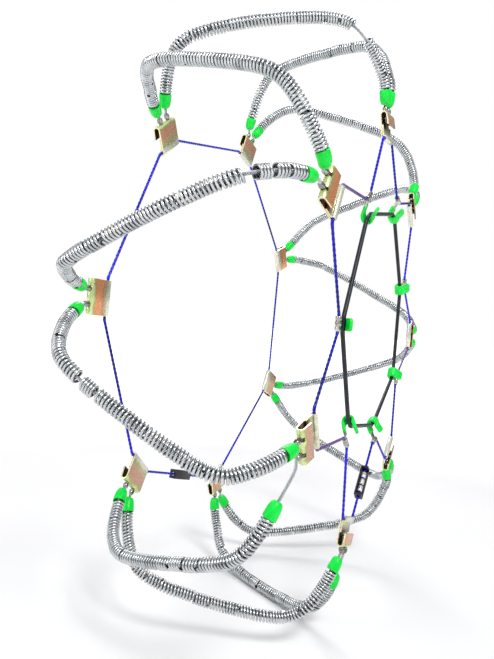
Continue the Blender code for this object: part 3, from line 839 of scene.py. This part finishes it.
def add_strand(number):
    bracket, way, _, _, outer_bare, inner_bare = STRANDS[number]
    route = STRAND_ROUTES[number]
    body = f"strand_{number + 1}"
    rng = random.Random(FIRST_SEED + number)
    distances = np.arange(ROPE_INSET, route.length - ROPE_INSET, ROPE_STEP)
    lay = 2 * math.pi * distances / ROPE_LAY
    radii = np.full(len(distances), ROPE_RADIUS)
    rope = swept_grid(route, distances, radii, ROPE_SIDES, lay, ROPE_LOBES)
    name = f"strand_rope_{number + 1}"
    mesh = grid_mesh(name, [rope], ROPE_OUTSIDE)
    add_piece(name, mesh, "rope", body, [f"strand_cable_{number + 1}"])
    start, end = outer_bare, route.length - inner_bare
    for label, place, direction in (("outer", 0.0, 1), ("inner", route.length, -1)):
        name = f"strand_end_{number + 1}_{label}"
        mesh = turned_mesh(name, route, place, FITTING_PROFILE, TURNED_SIDES, direction)
        add_piece(name, mesh, "swage", body)
    for label, place, direction in (("outer", start, 1), ("inner", end, -1)):
        name = f"strand_cap_{number + 1}_{label}"
        mesh = turned_mesh(name, route, place, CAP_PROFILE, CAP_SIDES, direction, closed=True)
        add_piece(name, mesh, "green", body)
    at_mouth = CAP_LENGTH - CAP_OVERLAP
    slack = RUN_SLACK.get(number, 0.0)
    if number in LOOSE_COILS:
        distance, bare = LOOSE_COILS[number]
        middle = start + distance
        low = middle - LOOSE_COIL_LENGTH / 2 - LOOSE_COIL_GAP
        high = middle + LOOSE_COIL_LENGTH / 2 + bare
        coils = coil_run(route, start + at_mouth, low, slack, rng)
        coils += coil_run(route, high, end - at_mouth, 0.0, rng)
        nodes = [f"traction_coils_{number + 1}_{part}" for part in ("outer", "inner")]
        add_loose_coil(number, route, middle, rng)
    else:
        coils, here = [], start + at_mouth
        if number in BARE_STRETCHES:
            low, high = BARE_STRETCHES[number]
            coils += coil_run(route, here, low, slack, rng)
            here = high
        coils += coil_run(route, here, end - at_mouth, slack, rng)
        nodes = [f"traction_coils_{number + 1}"]
    name = f"coils_{number + 1}"
    add_piece(name, grid_mesh(name, coils, COIL_OUTSIDE), "coil", body, nodes)


def add_loose_coil(number, route, middle, rng):
    """A coil that spins on its own axis, which is straight."""
    ends = route.at([middle - 0.004, middle + 0.004])[0]
    centre = route.at([middle])[0][0]
    along = ends[1] - ends[0]
    along /= np.linalg.norm(along)
    half = LOOSE_COIL_LENGTH / 2
    straight = Route([Vector(centre + along * d) for d in np.linspace(-half, half, 9)])
    pitch = (LOOSE_COIL_LENGTH - COIL_WIRE) / LOOSE_COIL_TURNS
    phase = rng.uniform(0, 2 * math.pi)
    grid = helix_grid(straight, COIL_WIRE / 2, LOOSE_COIL_TURNS, pitch, phase, rng)
    name = f"spare_coil_{number + 1}"
    node = f"loose_coil_{number + 1}"
    add_piece(name, grid_mesh(name, [grid], COIL_OUTSIDE), "coil", node, [node])


# ---------------------------------------------------------------- brackets

def arc(centre, radius, start, end, steps):
    """Points of an arc in the YZ plane, angles in degrees from +Y towards +Z."""
    return [
        Vector((0, centre[0] + radius * math.cos(a), centre[1] + radius * math.sin(a)))
        for a in (math.radians(start + (end - start) * i / steps) for i in range(steps + 1))
    ]


def bracket_outline():
    """Middle of the bracket's sheet: front leg, hairpin bend, back plate, rolled tube and tail."""
    flare = math.radians(LEG_FLARE)
    bend = (BEND_REACH, BEND_MID_RADIUS - TUBE_MID_RADIUS)
    hairpin = arc(bend, BEND_MID_RADIUS, 90 - LEG_FLARE, -90, 18)
    leg_length = BEND_REACH - FREE_END_REACH
    leg_end = hairpin[0] + leg_length * Vector((0, -math.cos(flare), math.sin(flare)))
    tail_z = PLATE + TAIL_GAP - TUBE_MID_RADIUS
    crease_z = tail_z + CREASE_MID_RADIUS
    contact = math.asin(crease_z / (TUBE_MID_RADIUS + CREASE_MID_RADIUS))
    crease_y = (TUBE_MID_RADIUS + CREASE_MID_RADIUS) * math.cos(contact)
    turn = math.degrees(contact)
    tube = arc((0, 0), TUBE_MID_RADIUS, 270, turn, 22)
    crease = arc((crease_y, crease_z), CREASE_MID_RADIUS, 180 + turn, 270, 6)
    return [leg_end, *hairpin, *tube, *crease[1:], Vector((0, FREE_END_REACH, tail_z))]


def loose_object(name, mesh, place=(0, 0, 0)):
    """An object that only lives while a mesh is made."""
    obj = bpy.data.objects.new(name, mesh)
    obj.location = place
    bpy.context.scene.collection.objects.link(obj)
    return obj


def box_mesh(name, size):
    x, y, z = (s / 2 for s in size)
    corners = [(a, b, c) for a in (-x, x) for b in (-y, y) for c in (-z, z)]
    faces = [(0, 1, 3, 2), (4, 6, 7, 5), (0, 4, 5, 1), (2, 3, 7, 6), (0, 2, 6, 4), (1, 5, 7, 3)]
    mesh = bpy.data.meshes.new(name)
    mesh.from_pydata(corners, [], faces)
    return mesh


def cut_mesh(obj, cutters, bevel, segments):
    """The mesh of an object less its cutters, with bevelled edges; the objects are removed."""
    for other in cutters:
        cut = obj.modifiers.new("cut", "BOOLEAN")
        cut.object = other
        cut.operation = "DIFFERENCE"
        cut.solver = "EXACT"
    edge = obj.modifiers.new("edge", "BEVEL")
    edge.width = bevel
    edge.segments = segments
    edge.limit_method = "ANGLE"
    edge.angle_limit = math.radians(50)
    graph = bpy.context.evaluated_depsgraph_get()
    mesh = bpy.data.meshes.new_from_object(obj.evaluated_get(graph))
    for done in (obj, *cutters):
        bpy.data.objects.remove(done)
    mesh.shade_smooth()
    mesh.set_sharp_from_angle(angle=math.radians(40))
    return mesh


def bracket_mesh():
    """One bracket: folded sheet with a hairpin bend, two slots in the bend and a rolled tube."""
    outline = bracket_outline()
    half = BRACKET_LENGTH / 2
    vertices = [p + Vector((x, 0, 0)) for p in outline for x in (-half, half)]
    faces = [(2 * i, 2 * i + 1, 2 * i + 3, 2 * i + 2) for i in range(len(outline) - 1)]
    mesh = bpy.data.meshes.new("bracket")
    mesh.from_pydata(vertices, [], faces)
    obj = loose_object("bracket", mesh)
    shell = obj.modifiers.new("thickness", "SOLIDIFY")
    shell.thickness = PLATE
    shell.offset = 0
    shell.use_even_offset = True
    slot_bottom = BEND_MID_RADIUS - TUBE_MID_RADIUS - SLOT_WIDTH / 2
    cutters = []
    for way in (-1, 1):
        place = (way * SLOT_SPACING, BEND_REACH + SLOT_CUT_REACH, (SLOT_TOP + slot_bottom) / 2)
        size = (SLOT_WIDTH, SLOT_CUT, SLOT_TOP - slot_bottom)
        cutters.append(loose_object("slot", box_mesh("slot", size), place))
    made = cut_mesh(obj, cutters, 0.0005, 2)
    # outside is 0 inside the folds, where the zinc material paints shade.
    mark(made, [0.0 if inside_fold(v.co.y, v.co.z) else 1.0 for v in made.vertices])
    return made


def inside_fold(y, z):
    """Whether a point of a bracket's skin faces the inside of its tube, its legs or its bend."""
    if y < TUBE_MID_RADIUS:
        return math.hypot(y, z) < TUBE_MID_RADIUS
    if y < FREE_END_REACH - 0.0002:
        return False
    rise = BEND_MID_RADIUS - TUBE_MID_RADIUS
    if y > BEND_REACH:
        return math.hypot(y - BEND_REACH, z - rise) < BEND_MID_RADIUS
    opened = (BEND_REACH - y) * math.tan(math.radians(LEG_FLARE))
    return -TUBE_MID_RADIUS < z < rise + BEND_MID_RADIUS + opened


def add_brackets():
    meshes = [bracket_mesh()]
    meshes += [meshes[0].copy() for _ in ZINC_VARIANTS[1:]]
    for name, side in (("outer_bracket", OUTER), ("inner_bracket", INNER)):
        for number in range(PANELS):
            node = f"{name}_{number + 1}"
            matrix = bracket_frame(bracket_place(number, side), side)
            variant = BRACKET_VARIANTS[number]
            look = f"zinc_{variant + 1}"
            add_piece(f"folded_{node}", meshes[variant], look, "side_cables", [node], matrix)


# ---------------------------------------------------------------- side cables and fasteners

def bracket_bends(number, side):
    angle, radius, _ = bracket_place(number, side)
    reach = BRACKET_LENGTH / 2 + BRACKET_CORNER
    middle = on_wheel(radius, side * RING_OFFSET, angle)
    return [middle - reach * tangent(angle), middle + reach * tangent(angle)]


def hook_bends(number):
    angle, radius = hook_place(number)
    reach = FERRULE_LENGTH / 2 + FERRULE_CORNER
    middle = on_wheel(radius, -RING_OFFSET, angle)
    return [middle - reach * tangent(angle), middle + reach * tangent(angle)]


def fastener_frame(side):
    """Frame of a fastener: X along the side cable, Z away from the tyre."""
    if side == OUTER:
        start, end = bracket_bends(3, OUTER)[1], hook_bends(3)[0]
    else:
        start, end = bracket_bends(2, INNER)[1], bracket_bends(3, INNER)[0]
    along = (end - start).normalized()
    away = Vector((0, side, 0))
    matrix = Matrix((along, away.cross(along), away)).transposed().to_4x4()
    matrix.translation = start.lerp(end, FASTENER_SHARE[side])
    return matrix


# Stretches of the outer side cable where purple light is painted on its colour.
PAINTED_PURPLE_STRETCHES = ((37, 61), (117, 139), (246, 266))    # degrees round the axle


def add_side_cable(name, side):
    corners = []
    for number in range(PANELS):
        corners += bracket_bends(number, side)
        if side == OUTER:
            corners += hook_bends(number)
    after = (4 * 3 + 2) if side == OUTER else (2 * 3)
    corners = corners[after:] + corners[:after]
    frame_here = fastener_frame(side)
    low, high = (frame_here @ Vector((x, 0, 0)) for x in (-CABLE_END, CABLE_END))
    route = Route([high, *rounded_corners(corners, SIDE_CABLE_BEND, 8), low])
    distances = np.unique(np.concatenate([route.distances, np.arange(0, route.length, 0.008)]))
    turns = 2 * math.pi * distances / SIDE_CABLE_LAY
    radii = np.full(len(distances), SIDE_CABLE_RADIUS)
    rope = swept_grid(route, distances, radii, 16, turns, SIDE_CABLE_LOBES)
    piece = f"coated_{name}"
    mesh = grid_mesh(piece, [rope])
    angles = [math.degrees(math.atan2(-v.co.x, v.co.z)) % 360 for v in mesh.vertices]
    # outside is 0 on the stretches with painted purple light, 1 elsewhere.
    painted_purple = PAINTED_PURPLE_STRETCHES if side == OUTER else ()
    mark(mesh, [0.0 if any(low < a < high for low, high in painted_purple) else 1.0 for a in angles])
    add_piece(piece, mesh, "cable", "side_cables", [name])


SWAGE_PROFILE = (
    (-0.0053, 0.0), (-0.0053, 0.0037), (-0.0048, 0.0042), (0.0048, 0.0042),
    (0.0053, 0.0037), (0.0053, 0.0),
)


def fastener_mesh():
    """A channel along the cable with a holed lug at both ends and its side cut open."""
    body = box_mesh("fastener", (FRAME_LENGTH, FRAME_WIDTH, FRAME_HEIGHT))
    inside = FRAME_LENGTH - 2 * FRAME_SHEET
    hollow = box_mesh("hollow", (inside, FRAME_WIDTH - 2 * FRAME_SHEET, 0.020))
    side = box_mesh("side", (inside - 0.003, 0.012, 0.020))
    bore_route = Route([Vector((x, 0, 0)) for x in (-0.04, 0.0, 0.04)])
    bore = swept_grid(bore_route, np.array([0.0, 0.08]), np.full(2, SIDE_CABLE_RADIUS + 0.0006), 24)
    cutters = [
        loose_object("hollow", hollow, (0, 0, 0.010 - FRAME_HEIGHT / 2 + FRAME_SHEET)),
        loose_object("side", side, (0, FRAME_WIDTH / 2, 0.0056)),
        loose_object("bore", grid_mesh("bore", [bore])),
    ]
    return cut_mesh(loose_object("fastener", body), cutters, 0.0007, 3)


def add_fasteners():
    mesh = fastener_mesh()
    for name, side in (("outer_fastener", OUTER), ("inner_fastener", INNER)):
        matrix = fastener_frame(side)
        add_piece(f"channel_{name}", mesh, "black", name, [name], matrix)
        line = Route([matrix @ Vector((x, 0, 0)) for x in (-0.02, 0.0, 0.02)])
        for label, place in STOP_PLACES:
            piece = f"swage_{name}_{label}"
            made = turned_mesh(piece, line, 0.02 + place, SWAGE_PROFILE, TURNED_SIDES)
            add_piece(piece, made, "stop", "side_cables")


# ---------------------------------------------------------------- hooks and rubber ring

def hook_path():
    """Middle of a hook's strip, densely: from the ferrule, round the rubber and back outwards."""
    bend_radius = TENSIONER_RADIUS + HOOK_THICKNESS / 2 + HOOK_CLEARANCE
    bend_y, bend_z = -HOOK_REACH, TENSIONER_OFFSET - RING_OFFSET
    bend = arc((bend_y, bend_z), bend_radius, 180 + 75, 180 - 100, 8)
    base = Vector((0, -0.0034, 0.0))
    knee = Vector((0, bend_y + 0.006, bend_z - bend_radius - 0.0004))
    flare = math.radians(35)
    tip = bend[-1] + HOOK_TIP * Vector((0, math.cos(flare), math.sin(flare)))
    middle = bend[-1].lerp(tip, 0.5)
    return smooth_route([base, base.lerp(knee, 0.5), knee, *bend, middle, tip], 0.0008)


def strap_grid(places, first, last, width, thickness, round_ends):
    """A strip with softly rounded edges along part of a path, wide along X."""
    route = Route(places)
    distances = np.linspace(first, last, 60)
    place, along, _, _ = route.at(distances)
    wide = np.tile(np.array([1.0, 0.0, 0.0]), (len(distances), 1))
    through = np.cross(along, wide)
    scale = np.ones(len(distances))
    for size, gap in zip(round_ends, (distances - first, last - distances)):
        inside = np.clip(gap / size, 0.0, 1.0)
        scale *= np.sqrt(np.maximum(1 - (1 - inside) ** 2, 0.0004))
    sides = 32
    angle = 2 * math.pi * (np.arange(sides) + 0.5) / sides
    power = 2.0 / 7.0
    x = np.sign(np.cos(angle)) * np.abs(np.cos(angle)) ** power
    z = np.sign(np.sin(angle)) * np.abs(np.sin(angle)) ** (2.0 / 3.2)
    corner = 0.30 + 0.70 * scale
    half_wide = np.asarray(width) / 2 * corner
    half_thick = np.asarray(thickness) / 2 * np.minimum(1.0, scale * 1.6)
    grid = (
        place[:, None, :]
        + (half_wide[:, None] * x[None, :])[..., None] * wide[:, None, :]
        + (half_thick[:, None] * z[None, :])[..., None] * through[:, None, :]
    )
    return grid


FERRULE_PROFILE = (
    (0.0000, 0.0029), (0.0000, 0.0042), (0.0006, 0.0046), (0.0050, 0.0046),
    (0.0060, 0.0041), (0.0078, 0.0041), (0.0088, 0.0046), (0.0132, 0.0046),
    (0.0142, 0.0041), (0.0160, 0.0041), (0.0170, 0.0046), (0.0214, 0.0046),
    (0.0220, 0.0042), (0.0220, 0.0029),
)


def add_hooks():
    path = hook_path()
    whole = Route(path).length
    strap = strap_grid(path, STRAP_START, whole, HOOK_WIDTH, HOOK_THICKNESS, (0.004, 0.006))
    strap_mesh = grid_mesh("hook_strap", [strap[:, ::-1]])
    shank = strap_grid(path, 0.0, SHANK_LENGTH, SHANK_WIDTH, SHANK_THICKNESS, (0.0001, 0.0001))
    shank_mesh = grid_mesh("hook_shank", [shank[:, ::-1]])
    axis = Route([Vector((x, 0, 0)) for x in (-FERRULE_LENGTH / 2, 0.0, FERRULE_LENGTH / 2)])
    ferrule_mesh = turned_mesh("hook_ferrule", axis, 0.0, FERRULE_PROFILE, 24, closed=True)
    for number in range(PANELS):
        angle, radius = hook_place(number)
        matrix = side_frame(angle, OUTER, radius)
        body = f"tensioner_hook_{number + 1}"
        add_piece(f"hook_strap_{number + 1}", strap_mesh, "green", body, [body], matrix)
        add_piece(f"hook_shank_{number + 1}", shank_mesh, "ferrule", body, (), matrix)
        add_piece(f"hook_ferrule_{number + 1}", ferrule_mesh, "ferrule", body, (), matrix)


def add_rubber():
    """The rubber ring in seven pieces, each from midway between two hooks to the next midway."""
    corners = []
    for number in range(PANELS):
        angle, radius = hook_place(number)
        reach = HOOK_WIDTH / 2 + TENSIONER_CORNER
        middle = on_wheel(radius - HOOK_REACH, -TENSIONER_OFFSET, angle)
        corners += [middle - reach * tangent(angle), middle + reach * tangent(angle)]
    for number in range(PANELS):
        before = corners[2 * number - 1].lerp(corners[2 * number], 0.5)
        after_corner = corners[(2 * number + 2) % len(corners)]
        after = corners[2 * number + 1].lerp(after_corner, 0.5)
        loop = [before, corners[2 * number], corners[2 * number + 1], after]
        bends = rounded_corners(loop, TENSIONER_BEND, 6)[7:21]
        route = Route([before, *bends, after])
        distances = np.unique(np.concatenate([route.distances, np.arange(0, route.length, 0.004)]))
        grid = swept_grid(route, distances, np.full(len(distances), TENSIONER_RADIUS), 16)
        name = f"rubber_ring_{number + 1}"
        middle = corners[2 * number].lerp(corners[2 * number + 1], 0.5)
        add_piece(
            name, grid_mesh(name, [grid]), "rubber", f"tensioner_hook_{number + 1}",
            ["rubber_tensioner"], blend=(before.lerp(after, 0.5), middle)
        )


# ---------------------------------------------------------------- floor and light

def add_stage():
    """A pale floor that fades to white far from the object."""
    mesh = bpy.data.meshes.new("floor")
    size = 30.0
    corners = [(-size, -size, 0), (size, -size, 0), (size, size, 0), (-size, size, 0)]
    mesh.from_pydata(corners, [], [(0, 1, 2, 3)])
    floor = bpy.data.objects.new("floor", mesh)
    floor.location = (0, 0, CAD_BOX[0][2])
    bpy.context.scene.collection.objects.link(floor)
    paint = Shader("floor_paint", roughness=0.8)
    tone = paint.noise(0.8, 2.0)
    paint.colour(paint.ramp(tone, [(0.3, (0.84, 0.84, 0.84)), (0.7, (0.88, 0.88, 0.88))]))
    paint.principled.inputs["Emission Color"].default_value = (1, 1, 1, 1)
    away = paint.node("ShaderNodeVectorMath", None, {0: paint.coordinates}, operation="LENGTH")
    glow = paint.span(away.outputs["Value"], 0.0, 1.0, 1.2, 5.0)
    paint.tree.links.new(glow, paint.principled.inputs["Emission Strength"])
    mesh.materials.append(paint.material)


def add_light(name, place, size, power):
    """A square light that faces the middle of the chain."""
    data = bpy.data.lights.new(name, "AREA")
    data.energy = power
    data.size = size
    light = bpy.data.objects.new(name, data)
    light.location = place
    light.rotation_euler = (-Vector(place)).to_track_quat("-Z", "Y").to_euler()
    bpy.context.scene.collection.objects.link(light)


def add_world():
    """White to look at; as a light, brighter above than round the sides."""
    world = bpy.data.worlds.new("studio")
    world.use_nodes = True
    tree = world.node_tree
    background = tree.nodes["Background"]
    background.inputs["Strength"].default_value = 1.0
    direction = tree.nodes.new("ShaderNodeTexCoord").outputs["Generated"]
    height = tree.nodes.new("ShaderNodeSeparateXYZ")
    tree.links.new(direction, height.inputs["Vector"])
    ramp = tree.nodes.new("ShaderNodeValToRGB")
    tree.links.new(height.outputs["Z"], ramp.inputs["Fac"])
    for element, (position, level) in zip(ramp.color_ramp.elements, ((0.0, 0.14), (0.9, 0.62))):
        element.position = position
        element.color = (level, level, level * 1.04, 1)
    seen = tree.nodes.new("ShaderNodeLightPath").outputs["Is Camera Ray"]
    mix = tree.nodes.new("ShaderNodeMix")
    mix.data_type = "RGBA"
    tree.links.new(seen, mix.inputs[0])
    tree.links.new(ramp.outputs["Color"], mix.inputs[6])
    mix.inputs[7].default_value = (1, 1, 1, 1)
    tree.links.new(mix.outputs[2], background.inputs["Color"])
    bpy.context.scene.world = world
    bpy.context.scene.view_settings.view_transform = "Standard"


# ---------------------------------------------------------------- the whole scene

for strand_number in range(len(STRANDS)):
    add_strand(strand_number)
add_brackets()
add_side_cable("outer_side_cable", OUTER)
add_side_cable("inner_side_cable", INNER)
add_fasteners()
add_hooks()
add_rubber()
add_stage()
add_world()
add_light("key", (-1.8, -1.8, 2.6), 1.0, 80)
add_light("fill", (-2.4, 1.6, 1.2), 1.6, 22)
add_light("rim", (2.0, 1.2, 2.2), 1.6, 50)
